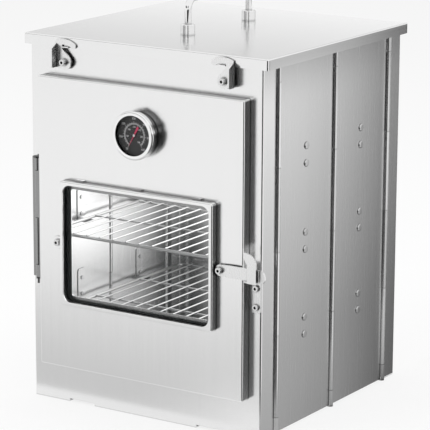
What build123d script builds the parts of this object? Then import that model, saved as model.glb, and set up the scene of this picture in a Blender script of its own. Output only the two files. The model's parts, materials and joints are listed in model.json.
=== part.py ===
from build123d import *
from math import acos, cos, degrees, radians, sin
import os

# Folding camp oven of stainless sheet. Millimetres, +Z up, front of the oven towards -Y,
# +X to the right as seen from the front. The origin lies on the ground under the middle of the body.

os.makedirs("parts", exist_ok=True)

# ---------------------------------------------------------------- body sizes
body_width = 290.0
body_depth = 284.0
body_height = 398.7
sheet = 1.0
bend_radius = 2.0
corner_flange = 28.5          # from the front or rear face to the first hinge axis
edge_flange = 12.0            # inward flange along the top and bottom of each frame
touch_gap = 0.3               # between pieces that rest on or lie beside each other
through = 20.0                # length of a cut that goes right through a sheet
notch_width = 33.0
notch_height = 3.0
notch_offset = 82.0

# ---------------------------------------------------------------- wall hinges
knuckle_radius = 3.0
knuckle_stand = 0.6           # of a hinge axis outside the face of the side panels
hinge_pin_radius = 1.5
pin_clearance = 0.05
knuckle_gap = 0.5             # between the ends of neighbouring knuckles
knuckle_relief = 0.4          # between a knuckle and the sheet of the other leaf
first_seam = 18.5
last_knuckle = 26.2           # length of the uppermost knuckle and the gap above it
knuckle_count = 6
knuckle_top_gap = 0.8
panel_lift = 1.2              # the side panels end a little above the ground

# ---------------------------------------------------------------- rack brackets and racks
bracket_width = 14.0
bracket_height = 37.0
ledge_depth = 14.0
first_ledge = 88.0
ledge_pitch = 92.0
ledge_levels = 3
rivet_radius = 1.6
rivet_head_radius = 3.9
rivet_head_height = 1.7
rivet_tail_radius = 2.1
rivet_tail_height = 0.9
rivet_spacing = 18.5
rivet_above_ledge = 6.8
hole_clearance = 0.1
rack_side_gap = 7.0           # between a rack and a side panel
rack_end_gap = 13.0           # between a rack and the front or rear face of the body
rack_rod_radius = 1.7
rack_wire_radius = 0.8
rack_wire_count = 15
rack_corner_radius = 8.0
rack_cross_rods = 2
rack_cross_radius = 1.1
rack_cross_lift = 0.5         # of the cross rods' axes above the outer rod's
weld_depth = 0.4              # how far one welded wire sinks into another

# ---------------------------------------------------------------- base tray
tray_side_gap = 7.0           # from the tray to the outside of the body
tray_end_gap = 4.0
tray_rim = 12.0

# ---------------------------------------------------------------- lid and its handle
lid_overhang_side = 7.0
lid_overhang_front = 3.0
lid_flange = 11.5
lid_corner_slit = 0.6
lid_edge_round = 1.4
handle_span = 120.0
handle_height = 38.0
handle_wire_radius = 3.7
handle_bend_radius = 12.0
collar_radius = 7.5
collar_height = 11.5
collar_edge_round = 0.8
set_screw_height = 6.9        # from the lid up to the middle of a set screw
set_screw_inset = 0.4
set_screw_radius = 1.5
set_screw_socket = 0.75
handle_screw_radius = 2.4
handle_screw_length = 14.0
handle_screw_head_radius = 5.0
handle_screw_head_height = 3.0
handle_screw_head_round = 1.0
handle_thread_spare = 1.0     # of the tapped hole beyond the screw's end

# ---------------------------------------------------------------- bolts, nuts and washers
bolt_radius = 2.0
bolt_head_radius = 3.5
bolt_head_height = 4.0
button_head_height = 2.6
socket_flats = 3.0
socket_depth = 2.0
washer_radius = 4.2
washer_thickness = 0.8
nut_flats = 7.0
nut_height = 3.2
bolt_tail = 1.2

# ---------------------------------------------------------------- lid latches
latch_side_inset = 45.5       # from the side of the body to a latch pivot
latch_shift = 1.6             # the pair of latches stands slightly right of the middle
latch_drop = 15.0             # from the lower edge of the lid down to a latch pivot
latch_plate = 1.8
latch_neck = 11.5             # from the pivot to the outer edge of the plate
latch_foot_radius = 8.3
latch_hook_outer = 24.5
latch_hook_inner = 18.6
latch_hook_end = 56.0         # angle of the hook's tip from the horizontal, degrees
latch_lip_forward = 8.3
latch_lip_low = 6.0
latch_lip_top = 20.6          # of the lip beside the plate, above the pivot
latch_lip_shoulder = 14.4     # of the lip's front edge, above the pivot
latch_lip_round = 2.0
latch_foot_turn = 40.0        # where the round foot starts, degrees from the horizontal
latch_mouth_gap = 1.2         # from the lid's tab down to the lower edge of the hook's mouth
lid_tab_width = 8.0
lid_tab_reach = 3.0
lid_tab_inset = 2.0           # the tab starts this far outside the latch pivot
lid_tab_lift = 0.5            # from the flange's lower edge up to the tab

# ---------------------------------------------------------------- door
door_side_margin = 16.0       # of the front beside the door
door_top_margin = 40.7        # of the front above the door
door_low = 42.0
door_offset = 1.0             # the door stands slightly right of the middle
door_depth = 12.0
door_overlap = 10.0           # of the door over the edge of its opening
opening_lip = 6.0
opening_corner = 4.0
door_corner = 2.0
door_edge_round = 1.5

# ---------------------------------------------------------------- window
window_low_margin = 71.7      # of the door below the window
window_top_margin = 108.3
window_arm_gap = 0.5          # between the window frame and the root of the latch arm
window_offset = 0.6           # of the window from the middle of the door
window_depth = 9.0
window_band = 4.4
window_wall = 1.2
window_corner = 9.0           # of the opening in the window frame
window_outer_corner = 3.5
window_rim = 5.2              # how far the door reaches in past the opening in the window frame
window_rim_corner = 2.0
glass_thickness = 3.0
glass_grip = 1.6              # depth of the glass in the gasket's groove
gasket_lip = 1.5              # of the gasket behind the glass
tab_width = 10.5
tab_pitch = 74.0
tab_thickness = 1.4
slot_clearance = 0.5
tab_root = 3.0                # length of a tab along the top of the window frame
window_edge_round = 1.6
window_hole_round = 0.5
glass_chamfer = 0.3
ear_height = 13.0
ear_thickness = 1.2
window_bolt_inset = 25.5      # from the edge of the door
window_bolt_drop = 1.7        # of the bolts below the middle of the window

# ---------------------------------------------------------------- door hinge
door_barrel_radius = 2.5
door_pin_radius = 1.2
door_hinge_shift = 0.8        # of the hinge's middle above the middle of the door
door_hinge_length = 132.0
door_hinge_short = 14.0       # length of the end knuckles
door_hinge_offset = 8.5       # from the door's edge to the hinge axis
door_barrel_gap = 0.45        # between the barrel and the front frame
leaf_thickness = 0.8
leaf_width = 8.0
door_leaf_width = 6.0         # of the leaf along the side of the door
door_pin_head_radius = 3.8
door_pin_head_height = 1.8
door_pin_tail = 7.0
door_pin_head_round = 0.6

# ---------------------------------------------------------------- door latch
arm_thickness = 1.7
arm_height = 13.0
arm_root_radius = 5.9
arm_reach = 47.5              # from the pivot to the bend of the finger tab
arm_flare = 12.0              # from the pivot to where the arm has its full height
arm_bend_overlap = 0.4
arm_tab_length = 11.0
arm_tab_angle = 25.0
keeper_thickness = 1.8
keeper_width = 11.0
keeper_drop = 43.0            # from the latch arm's pivot down to the keeper's lower end
keeper_round = 2.0
keeper_bolt_spacing = 20.0
keeper_bolt_low = 5.8
horn_height = 30.4
horn_width = 10.8
horn_shift = 4.5              # the horn stands this far to the right of the base
horn_lean = 4.2               # the tip leans this far back to the left
horn_shoulder = 10.1          # from the tip down to where the right edge turns
horn_throat = 12.5            # from the tip down to where the left edge turns
horn_bulge = 2.6              # of the right edge outwards
horn_hollow = 1.4             # of the left edge inwards
horn_tip_round = 2.0

# ---------------------------------------------------------------- thermometer
dial_offset = 2.0             # from the middle of the door
dial_drop = 48.5              # from the top of the door down to the middle of the dial
case_radius = 23.4
case_depth = 11.5
case_wall = 1.0
case_round = 1.5
bezel_radius = 25.8
bezel_inner_radius = 21.2
bezel_depth = 5.0
bezel_lap = 2.5
bezel_round = 2.2
dial_radius = 21.6
dial_thickness = 0.6
dial_inset = 2.0              # of the dial behind the open end of the case
lens_thickness = 1.0
lens_inset = 1.2              # of the lens behind the front of the bezel
needle_gap = 0.8              # from the dial up to the needle
needle_thickness = 0.4
needle_tip = 14.0
needle_tail = 10.5
needle_tail_width = 2.8
needle_tip_width = 1.2
needle_hub_radius = 1.4
spindle_radius = 0.8
spindle_reach = 0.6           # of the spindle behind the dial
needle_rest_angle = 241.0     # of the thin end from the +X direction, degrees
stem_radius = 3.0
stem_length = 46.0
thread_radius = 5.0
thread_length = 7.0
thermometer_nut_flats = 14.0
thermometer_nut_height = 3.0
stem_tip_round = 1.8

# ---------------------------------------------------------------- worked-out places
front = -body_depth / 2
side = body_width / 2
hinge_x = side + knuckle_stand
hinge_pitch = body_depth / 2 - corner_flange
hinge_front = -hinge_pitch
hinge_rear = hinge_pitch
edge_setback = knuckle_radius + knuckle_relief
low = Align.MIN
mid = Align.CENTER
high = Align.MAX
lid_top = body_height + touch_gap + sheet
lid_low = lid_top - lid_flange
seam_pitch = (body_height - first_seam - last_knuckle) / (knuckle_count - 2)
rack_width = body_width - 2 * sheet - 2 * rack_side_gap
rack_depth = body_depth - 2 * rack_end_gap
tray_width = body_width - 2 * tray_side_gap
tray_depth = body_depth - 2 * tray_end_gap
door_width = body_width - 2 * door_side_margin
door_height = body_height - door_low - door_top_margin
door_top = door_low + door_height
door_x = door_offset
door_front = front - door_depth
door_left = door_x - door_width / 2
door_hinge_low = door_low + door_height / 2 + door_hinge_shift - door_hinge_length / 2
keeper_right = side
keeper_x = keeper_right - keeper_width / 2
window_height = door_height - window_low_margin - window_top_margin
window_middle = door_low + window_low_margin + window_height / 2
window_bolt_offset = door_width / 2 - window_bolt_inset
window_bolt_height = window_middle - window_bolt_drop
window_half = window_bolt_offset - arm_root_radius - window_arm_gap - window_offset
window_width = 2 * window_half
window_bolt_left = door_x - window_bolt_offset
window_bolt_right = door_x + window_bolt_offset
window_x = door_x + window_offset
window_top = window_middle + window_height / 2
keeper_low = window_bolt_height - keeper_drop
dial_x = door_x + dial_offset
dial_height = door_top - dial_drop
ear_front = door_front - ear_thickness
arm_back = ear_front - washer_thickness - touch_gap
arm_front = arm_back - arm_thickness
latch_back = front - lid_overhang_front - touch_gap
latch_front = latch_back - latch_plate
latch_offset = side - latch_side_inset
latch_left = latch_shift - latch_offset
latch_right = latch_shift + latch_offset
latch_pivot_height = lid_low - latch_drop
panel_middles = (-hinge_pitch / 2, hinge_pitch / 2)
ledge_heights = [first_ledge + ledge_pitch * level for level in range(ledge_levels)]


def save(part, name):
    """Labels a finished piece and writes it under its own name."""
    part.label = name
    export_step(part, f"parts/{name}.step")


def knuckle_span(level):
    """Lower and upper end of one knuckle of a wall hinge, counted from the ground."""
    seam_below = first_seam + seam_pitch * (level - 1)
    seam_above = first_seam + seam_pitch * level
    span_low = 0.0 if level == 0 else seam_below + knuckle_gap / 2
    span_high = body_height - knuckle_top_gap
    if level < knuckle_count - 1:
        span_high = seam_above - knuckle_gap / 2
    return span_low, span_high


def roll_knuckles(hinge_y, leaf_side, levels, x_sides=(1,)):
    """Adds the knuckles of one leaf, each rolled from a strip of its sheet.

    leaf_side is +1 where the sheet lies behind the hinge axis and -1 where it lies in front.
    """
    for x_side in x_sides:
        for level in levels:
            span_low, span_high = knuckle_span(level)
            with Locations((x_side * hinge_x, hinge_y, span_low)):
                Cylinder(knuckle_radius, span_high - span_low, align=(mid, mid, low))
            strip_middle = hinge_y + leaf_side * edge_setback / 2
            with Locations((x_side * (side - sheet / 2), strip_middle, span_low)):
                Box(sheet, edge_setback, span_high - span_low, align=(mid, mid, low))
        bore = hinge_pin_radius + pin_clearance
        with Locations((x_side * hinge_x, hinge_y, 0)):
            Cylinder(bore, body_height, align=(mid, mid, low), mode=Mode.SUBTRACT)


def front_pan(levels):
    """A sheet pan across the front: face, corner flanges with knuckles, top and bottom flanges."""
    flange_end = hinge_front - edge_setback
    with BuildPart() as pan:
        with Locations((0, front, 0)):
            Box(body_width, flange_end - front, body_height, align=(mid, low, low))
        fillet(pan.edges().filter_by(Axis.Z).group_by(Axis.Y)[0], bend_radius)
        with BuildPart(mode=Mode.PRIVATE) as hollow:
            with Locations((0, front + sheet, sheet)):
                Box(
                    body_width - 2 * sheet, flange_end - front,
                    body_height - 2 * sheet, align=(mid, low, low),
                )
            fillet(hollow.edges().filter_by(Axis.Z).group_by(Axis.Y)[0], bend_radius - sheet)
        add(hollow.part, mode=Mode.SUBTRACT)
        with Locations((0, front + edge_flange, 0)):
            Box(
                body_width - 2 * sheet, body_depth, 2 * body_height + through,
                align=(mid, low, mid), mode=Mode.SUBTRACT,
            )
        with Locations((-notch_offset, front, 0), (notch_offset, front, 0)):
            Box(notch_width, 4 * edge_flange, 2 * notch_height, mode=Mode.SUBTRACT)
        roll_knuckles(hinge_front, -1, levels, x_sides=(-1, 1))
    return pan.part


def polar(radius, angle):
    """The point of a sketch at this radius and at this angle in degrees."""
    return radius * cos(radians(angle)), radius * sin(radians(angle))


def facing_front(x, y, z):
    """A place from which a cylinder's axis points to the front."""
    return Location((x, y, z), (90, 0, 0))


def socket_bolt(x, z, seat, length, head_height):
    """A bolt with a hexagon socket. Its head rests on the plane y = seat and points to the front."""
    with BuildPart() as bolt:
        with Locations(facing_front(x, seat, z)):
            Cylinder(bolt_head_radius, head_height, align=(mid, mid, low))
        fillet(bolt.edges().filter_by(GeomType.CIRCLE).group_by(Axis.Y)[0], head_height / 5)
        with Locations(facing_front(x, seat, z)):
            Cylinder(bolt_radius, length, align=(mid, mid, high))
        with BuildSketch(Plane.XZ.offset(-seat + head_height)):
            with Locations((x, z)):
                RegularPolygon(socket_flats / 2, 6, major_radius=False)
        extrude(amount=-min(socket_depth, head_height - sheet), mode=Mode.SUBTRACT)
    return bolt.part


def hexagon_nut(x, z, seat, bore, flats, height):
    """A nut behind a sheet. It rests on the plane y = seat and reaches towards the rear."""
    with BuildPart() as nut:
        with BuildSketch(Plane.XZ.offset(-seat)):
            with Locations((x, z)):
                RegularPolygon(flats / 2, 6, major_radius=False, rotation=30)
                Circle(bore, mode=Mode.SUBTRACT)
        extrude(amount=-height)
    return nut.part


def washer(x, z, seat):
    """A plain washer in front of the plane y = seat."""
    with BuildPart() as ring:
        with Locations(facing_front(x, seat, z)):
            Cylinder(washer_radius, washer_thickness, align=(mid, mid, low))
            Cylinder(bolt_radius + pin_clearance, through, mode=Mode.SUBTRACT)
    return ring.part


# ---------------------------------------------------------------- front and rear frames
with BuildPart() as front_frame:
    add(front_pan((0, 2, 4)))
    opening_width = door_width - 2 * door_overlap
    opening_height = door_height - 2 * door_overlap
    with BuildSketch(Plane.XZ.offset(-front)):
        with Locations((door_x, door_low + door_height / 2)):
            RectangleRounded(opening_width + 2 * sheet, opening_height + 2 * sheet, opening_corner + sheet)
    extrude(amount=-(opening_lip + sheet))
    latch_hole_places = [(x, latch_pivot_height) for x in (latch_left, latch_right)]
    keeper_bolt_places = [
        (keeper_x, keeper_low + keeper_bolt_low + keeper_bolt_spacing * row) for row in (0, 1)
    ]
    with BuildSketch(Plane.XZ.offset(-front)):
        with Locations((door_x, door_low + door_height / 2)):
            RectangleRounded(opening_width, opening_height, opening_corner)
        with Locations(*latch_hole_places, *keeper_bolt_places):
            Circle(bolt_radius + hole_clearance)
    extrude(amount=through, both=True, mode=Mode.SUBTRACT)
save(front_frame.part, "front_frame")

rear_pan = mirror(front_pan((1, 3, 5)), about=Plane.XZ)
with BuildPart() as rear_frame:
    add(rear_pan)
save(rear_frame.part, "rear_frame")

# ---------------------------------------------------------------- folding side panels
rivet_heights = [
    ledge + rivet_above_ledge + rivet_spacing * row for ledge in ledge_heights for row in (0, 1)
]
for x_side, side_name in ((1, "right"), (-1, "left")):
    for panel_y, panel_name in zip(panel_middles, ("front", "rear")):
        with BuildPart() as panel:
            with Locations((side - sheet / 2, panel_y, panel_lift)):
                Box(
                    sheet, hinge_pitch - 2 * edge_setback, body_height - panel_lift, align=(mid, mid, low)
                )
            outer_levels = (1, 3, 5) if panel_name == "front" else (0, 2, 4)
            inner_levels = (0, 2, 4) if panel_name == "front" else (1, 3, 5)
            outer_hinge = hinge_front if panel_name == "front" else hinge_rear
            outward = 1 if panel_name == "front" else -1
            roll_knuckles(outer_hinge, outward, outer_levels)
            roll_knuckles(0, -outward, inner_levels)
            with Locations(*[Location((side, panel_y, z), (0, 90, 0)) for z in rivet_heights]):
                Cylinder(rivet_radius + hole_clearance, through, mode=Mode.SUBTRACT)
        finished = panel.part if x_side == 1 else mirror(panel.part, about=Plane.YZ)
        save(finished, f"{side_name}_{panel_name}_panel")

    for hinge_y, hinge_name in ((hinge_front, "front"), (0, "middle"), (hinge_rear, "rear")):
        with BuildPart() as hinge_pin:
            with Locations((x_side * hinge_x, hinge_y, sheet / 2)):
                Cylinder(
                    hinge_pin_radius, body_height - knuckle_top_gap - sheet, align=(mid, mid, low)
                )
            chamfer(hinge_pin.edges().filter_by(GeomType.CIRCLE), hinge_pin_radius / 4)
        save(hinge_pin.part, f"{side_name}_{hinge_name}_hinge_pin")

# ---------------------------------------------------------------- rack brackets and their rivets
strip_x = side - 2 * sheet
ledge_tip = side - sheet - ledge_depth
with BuildPart() as bracket:
    with BuildSketch(Plane.XZ):
        with BuildLine():
            Polyline(
                (side - sheet, bracket_height - sheet), (side - sheet, -sheet), (ledge_tip, -sheet),
                (ledge_tip, 0), (strip_x, 0), (strip_x, bracket_height - sheet), close=True,
            )
        make_face()
    extrude(amount=bracket_width / 2, both=True)
    fillet(bracket.edges().filter_by(Axis.X).group_by(Axis.Z)[-1], bracket_width / 4)
    fillet(bracket.edges().filter_by(Axis.Z).group_by(Axis.X)[0], bracket_width / 5)
    rivet_rows = [rivet_above_ledge, rivet_above_ledge + rivet_spacing]
    with Locations(*[Location((side, 0, z), (0, 90, 0)) for z in rivet_rows]):
        Cylinder(rivet_radius + hole_clearance, through, mode=Mode.SUBTRACT)
for x_side, side_name in ((1, "right"), (-1, "left")):
    one_bracket = bracket.part if x_side == 1 else mirror(bracket.part, about=Plane.YZ)
    for panel_y, panel_name in zip(panel_middles, ("front", "rear")):
        with BuildPart() as bracket_set:
            with Locations(*[(0, panel_y, z) for z in ledge_heights]):
                add(one_bracket)
        save(bracket_set.part, f"{side_name}_{panel_name}_brackets")

with BuildPart() as rivet:
    Cylinder(rivet_radius, 2 * sheet, align=(mid, mid, high))
    Cylinder(rivet_head_radius, rivet_head_height, align=(mid, mid, low))
    fillet(rivet.edges().filter_by(GeomType.CIRCLE).group_by(Axis.Z)[-1], rivet_head_height * 0.8)
    with Locations((0, 0, -2 * sheet)):
        Cylinder(rivet_tail_radius, rivet_tail_height, align=(mid, mid, high))
rivet_places = [
    Location((x_side * side, panel_y, z), (0, x_side * 90, 0))
    for x_side in (1, -1) for panel_y in panel_middles for z in rivet_heights
]
with BuildPart() as bracket_rivets:
    with Locations(*rivet_places):
        add(rivet.part)
save(bracket_rivets.part, "bracket_rivets")

# ---------------------------------------------------------------- wire racks
for rack_name, ledge in (("rack_lower", ledge_heights[0]), ("rack_upper", ledge_heights[1])):
    rod_height = ledge + touch_gap + rack_rod_radius
    wire_height = rod_height + rack_rod_radius + rack_wire_radius - weld_depth
    frame_width = rack_width - 2 * rack_rod_radius
    frame_depth = rack_depth - 2 * rack_rod_radius
    wire_pitch = frame_width / (rack_wire_count + 1)
    with BuildPart() as rack:
        with BuildLine(Plane.XY.offset(rod_height)) as loop:
            FilletPolyline(
                (-frame_width / 2, -frame_depth / 2), (frame_width / 2, -frame_depth / 2),
                (frame_width / 2, frame_depth / 2), (-frame_width / 2, frame_depth / 2),
                radius=rack_corner_radius, close=True,
            )
        loop_path = loop.wires()[0]
        with BuildSketch(Plane(origin=loop_path @ 0, z_dir=loop_path % 0)):
            Circle(rack_rod_radius)
        sweep(path=loop_path)
        cross_pitch = frame_depth / (rack_cross_rods + 1)
        with GridLocations(0, cross_pitch, 1, rack_cross_rods):
            with Locations(Location((0, 0, rod_height + rack_cross_lift), (0, 90, 0))):
                Cylinder(rack_cross_radius, frame_width)
        with GridLocations(wire_pitch, 0, rack_wire_count, 1):
            with Locations(Location((0, 0, wire_height), (90, 0, 0))):
                Cylinder(rack_wire_radius, frame_depth + rack_rod_radius)
    save(rack.part, rack_name)

# ---------------------------------------------------------------- base tray
# Its edges rest on the bottom flanges of the frames, and its floor lies between them on the ground.
tray_shelf = sheet + touch_gap
well_depth = body_depth - 2 * (edge_flange + 2 * touch_gap)
with BuildPart() as base_tray:
    with Locations((0, 0, tray_shelf)):
        Box(tray_width, tray_depth, tray_rim, align=(mid, mid, low))
    fillet(base_tray.edges().filter_by(Axis.Z), bend_radius + sheet)
    Box(tray_width, well_depth, tray_shelf + tray_rim, align=(mid, mid, low))
    with BuildPart(mode=Mode.PRIVATE) as tray_hollow:
        with Locations((0, 0, tray_shelf + sheet)):
            Box(tray_width - 2 * sheet, tray_depth - 2 * sheet, tray_rim, align=(mid, mid, low))
        fillet(tray_hollow.edges().filter_by(Axis.Z), bend_radius)
        with Locations((0, 0, sheet)):
            Box(tray_width - 2 * sheet, well_depth - 2 * sheet, tray_rim, align=(mid, mid, low))
    add(tray_hollow.part, mode=Mode.SUBTRACT)
save(base_tray.part, "base_tray")

# ---------------------------------------------------------------- lid
lid_width = body_width + 2 * lid_overhang_side
lid_depth = body_depth + 2 * lid_overhang_front
lid_inside = lid_top - sheet
handle_places = [(0, y) for y in (-handle_span / 2, handle_span / 2)]
with BuildPart() as lid_pan:
    with Locations((0, 0, lid_low)):
        Box(lid_width, lid_depth, lid_flange, align=(mid, mid, low))
    fillet(lid_pan.edges().filter_by(Axis.Z), bend_radius)
    fillet(lid_pan.edges().group_by(Axis.Z)[-1], lid_edge_round)
    with BuildPart(mode=Mode.PRIVATE) as lid_hollow:
        with Locations((0, 0, lid_low)):
            Box(
                lid_width - 2 * sheet, lid_depth - 2 * sheet, lid_flange - sheet, align=(mid, mid, low)
            )
        fillet(lid_hollow.edges().filter_by(Axis.Z), bend_radius - sheet)
    add(lid_hollow.part, mode=Mode.SUBTRACT)
    slit_y = lid_depth / 2 - sheet - bend_radius
    for x_side, y_side in ((-1, -1), (-1, 1), (1, -1), (1, 1)):
        with Locations((x_side * lid_width / 2, y_side * slit_y, lid_low)):
            Box(
                4 * sheet, lid_corner_slit, lid_flange - bend_radius, align=(mid, mid, low),
                mode=Mode.SUBTRACT,
            )
    tab_x = latch_offset - lid_tab_width / 2 + lid_tab_inset
    for x_side in (-1, 1):
        tab_middle = latch_shift + x_side * tab_x
        with Locations((tab_middle, -lid_depth / 2 + sheet / 2, lid_low + lid_tab_lift)):
            Box(lid_tab_width, lid_tab_reach + sheet / 2, sheet, align=(mid, high, low))
    with Locations(*[(x, y, lid_top) for x, y in handle_places]):
        Cylinder(handle_screw_radius + hole_clearance, 4 * sheet, mode=Mode.SUBTRACT)
save(lid_pan.part, "lid_pan")

with BuildPart() as lid_handle:
    handle_end = handle_span / 2
    with BuildLine() as handle_line:
        FilletPolyline(
            (0, -handle_end, lid_top), (0, -handle_end, lid_top + handle_height),
            (0, handle_end, lid_top + handle_height), (0, handle_end, lid_top),
            radius=handle_bend_radius,
        )
    with BuildSketch(Plane.XY.offset(lid_top)):
        with Locations((0, -handle_end)):
            Circle(handle_wire_radius)
    sweep(path=handle_line.wires()[0])
    thread_bore = handle_screw_radius + pin_clearance
    thread_depth = handle_screw_length - sheet + handle_thread_spare
    with Locations(*[(x, y, lid_top) for x, y in handle_places]):
        Cylinder(thread_bore, thread_depth, align=(mid, mid, low), mode=Mode.SUBTRACT)
save(lid_handle.part, "lid_handle")

screw_z = lid_top + set_screw_height
sideways = (0, -90, 0)
with BuildPart() as handle_collars:
    with Locations(*[(x, y, lid_top) for x, y in handle_places]):
        Cylinder(collar_radius, collar_height, align=(mid, mid, low))
    fillet(
        handle_collars.edges().filter_by(GeomType.CIRCLE).group_by(Axis.Z)[-1], collar_edge_round
    )
    with Locations(*[(x, y, lid_top) for x, y in handle_places]):
        Cylinder(handle_wire_radius + pin_clearance, 4 * collar_height, mode=Mode.SUBTRACT)
    with Locations(*[Location((x, y, screw_z), sideways) for x, y in handle_places]):
        Cylinder(
            set_screw_radius + pin_clearance, collar_radius, align=(mid, mid, low), mode=Mode.SUBTRACT
        )
save(handle_collars.part, "handle_collars")

screw_start = handle_wire_radius + 2 * pin_clearance
screw_length = collar_radius - screw_start - set_screw_inset
with BuildPart() as collar_set_screws:
    with Locations(*[Location((x - screw_start, y, screw_z), sideways) for x, y in handle_places]):
        Cylinder(set_screw_radius, screw_length, align=(mid, mid, low))
    socket_start = screw_start + screw_length / 2
    with Locations(*[Location((x - socket_start, y, screw_z), sideways) for x, y in handle_places]):
        Cylinder(set_screw_socket, screw_length, align=(mid, mid, low), mode=Mode.SUBTRACT)
save(collar_set_screws.part, "collar_set_screws")

with BuildPart() as handle_screws:
    with Locations(*[(x, y, lid_inside) for x, y in handle_places]):
        Cylinder(handle_screw_head_radius, handle_screw_head_height, align=(mid, mid, high))
        Cylinder(handle_screw_radius, handle_screw_length, align=(mid, mid, low))
    head_edges = handle_screws.edges().filter_by(GeomType.CIRCLE).group_by(Axis.Z)[0]
    fillet(head_edges, handle_screw_head_round)
save(handle_screws.part, "handle_screws")

# ---------------------------------------------------------------- fasteners of keeper and lid latches
nut_bore = bolt_radius + pin_clearance
bolt_end = sheet + nut_height + bolt_tail
with BuildPart() as keeper_bolts:
    for x, z in keeper_bolt_places:
        bolt_length = keeper_thickness + bolt_end
        add(socket_bolt(x, z, front - keeper_thickness, bolt_length, button_head_height))
save(keeper_bolts.part, "keeper_bolts")

with BuildPart() as keeper_nuts:
    for x, z in keeper_bolt_places:
        add(hexagon_nut(x, z, front + sheet, nut_bore, nut_flats, nut_height))
save(keeper_nuts.part, "keeper_nuts")

with BuildPart() as lid_latch_spacers:
    with Locations(*[facing_front(x, front, z) for x, z in latch_hole_places]):
        Cylinder(washer_radius, lid_overhang_front, align=(mid, mid, low))
        Cylinder(bolt_radius + pin_clearance, through, mode=Mode.SUBTRACT)
save(lid_latch_spacers.part, "lid_latch_spacers")

latch_seat = latch_front - touch_gap
with BuildPart() as lid_latch_washers:
    for x, z in latch_hole_places:
        add(washer(x, z, latch_seat))
save(lid_latch_washers.part, "lid_latch_washers")

latch_bolt_seat = latch_seat - washer_thickness
with BuildPart() as lid_latch_bolts:
    for x, z in latch_hole_places:
        bolt_length = front - latch_bolt_seat + bolt_end
        add(socket_bolt(x, z, latch_bolt_seat, bolt_length, bolt_head_height))
save(lid_latch_bolts.part, "lid_latch_bolts")

with BuildPart() as lid_latch_nuts:
    for x, z in latch_hole_places:
        add(hexagon_nut(x, z, front + sheet, nut_bore, nut_flats, nut_height))
save(lid_latch_nuts.part, "lid_latch_nuts")

# ---------------------------------------------------------------- lid latches
# The hook is drawn about its pivot, and its mouth holds the lid's tab.
latch_plane = Plane(
    origin=(latch_left, latch_back, latch_pivot_height), x_dir=(1, 0, 0), z_dir=(0, -1, 0)
)
mouth_x = -lid_tab_inset - 2 * touch_gap
mouth_floor = lid_low + lid_tab_lift - latch_mouth_gap - latch_pivot_height
mouth_turn = degrees(acos(mouth_x / latch_hook_inner))
neck_turn = degrees(acos(-latch_neck / latch_hook_outer))
hook_middle = (latch_hook_outer + latch_hook_inner) / 2
hook_half = (latch_hook_outer - latch_hook_inner) / 2
tip_turn = latch_hook_end - degrees(hook_half / hook_middle)
neck_x = latch_left - latch_neck
lip_front = latch_front - latch_lip_forward
lip_bottom = latch_pivot_height - latch_lip_low
lip_shoulder = latch_pivot_height + latch_lip_shoulder
lip_top = latch_pivot_height + latch_lip_top
with BuildPart() as lid_latch_left:
    with BuildSketch(latch_plane):
        with BuildLine():
            neck = Line((-latch_neck, -latch_lip_low), polar(latch_hook_outer, neck_turn))
            outside = ThreePointArc(
                neck @ 1, polar(latch_hook_outer, (neck_turn + latch_hook_end) / 2),
                polar(latch_hook_outer, latch_hook_end),
            )
            tip = ThreePointArc(
                outside @ 1, polar(hook_middle, tip_turn), polar(latch_hook_inner, latch_hook_end)
            )
            inside = ThreePointArc(
                tip @ 1, polar(latch_hook_inner, (mouth_turn + latch_hook_end) / 2),
                polar(latch_hook_inner, mouth_turn),
            )
            mouth = Polyline(
                inside @ 1, (mouth_x, mouth_floor), polar(latch_foot_radius, latch_foot_turn)
            )
            foot = ThreePointArc(
                mouth @ 1, polar(latch_foot_radius, (latch_foot_turn - 90) / 2), (0, -latch_foot_radius)
            )
            Line(foot @ 1, neck @ 0)
        make_face()
        Circle(bolt_radius + pin_clearance, mode=Mode.SUBTRACT)
    extrude(amount=latch_plate)
    with BuildSketch(Plane.YZ.offset(neck_x)):
        with BuildLine():
            Polyline(
                (latch_back, lip_bottom), (lip_front, lip_bottom), (lip_front, lip_shoulder),
                (latch_back, lip_top), close=True,
            )
        make_face()
        fillet(vertices().group_by(Axis.X)[0].sort_by(Axis.Y)[0], latch_lip_round)
    extrude(amount=latch_plate)
save(lid_latch_left.part, "lid_latch_left")
save(mirror(lid_latch_left.part, about=Plane.YZ.offset(latch_shift)), "lid_latch_right")

# ---------------------------------------------------------------- door
view_width = window_width - 2 * window_band
view_height = window_height - 2 * window_band
bolt_places = [(window_bolt_left, window_bolt_height), (window_bolt_right, window_bolt_height)]
tab_places = [door_x + place * tab_pitch for place in (-1, 0, 1)]
slot_height = tab_thickness + 2 * slot_clearance
with BuildPart() as door_pan:
    with Locations((door_x, door_front, door_low)):
        Box(door_width, door_depth - touch_gap, door_height, align=(mid, low, low))
    fillet(door_pan.edges().filter_by(Axis.Y), door_corner)
    fillet(door_pan.edges().group_by(Axis.Y)[0], door_edge_round)
    with BuildPart(mode=Mode.PRIVATE) as door_hollow:
        with Locations((door_x, door_front + sheet, door_low + sheet)):
            Box(door_width - 2 * sheet, door_depth, door_height - 2 * sheet, align=(mid, low, low))
        fillet(door_hollow.edges().filter_by(Axis.Y), door_corner - sheet)
    add(door_hollow.part, mode=Mode.SUBTRACT)
    with BuildSketch(Plane.XZ.offset(-door_front)):
        with Locations((window_x, window_middle)):
            RectangleRounded(
                view_width - 2 * window_rim, view_height - 2 * window_rim, window_rim_corner
            )
        with Locations(*bolt_places):
            Circle(bolt_radius + hole_clearance)
        with Locations((dial_x, dial_height)):
            Circle(thread_radius + hole_clearance)
        with Locations(*[(x, window_top + tab_thickness / 2) for x in tab_places]):
            Rectangle(tab_width + 2 * slot_clearance, slot_height)
    extrude(amount=through, both=True, mode=Mode.SUBTRACT)
save(door_pan.part, "door_pan")

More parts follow.
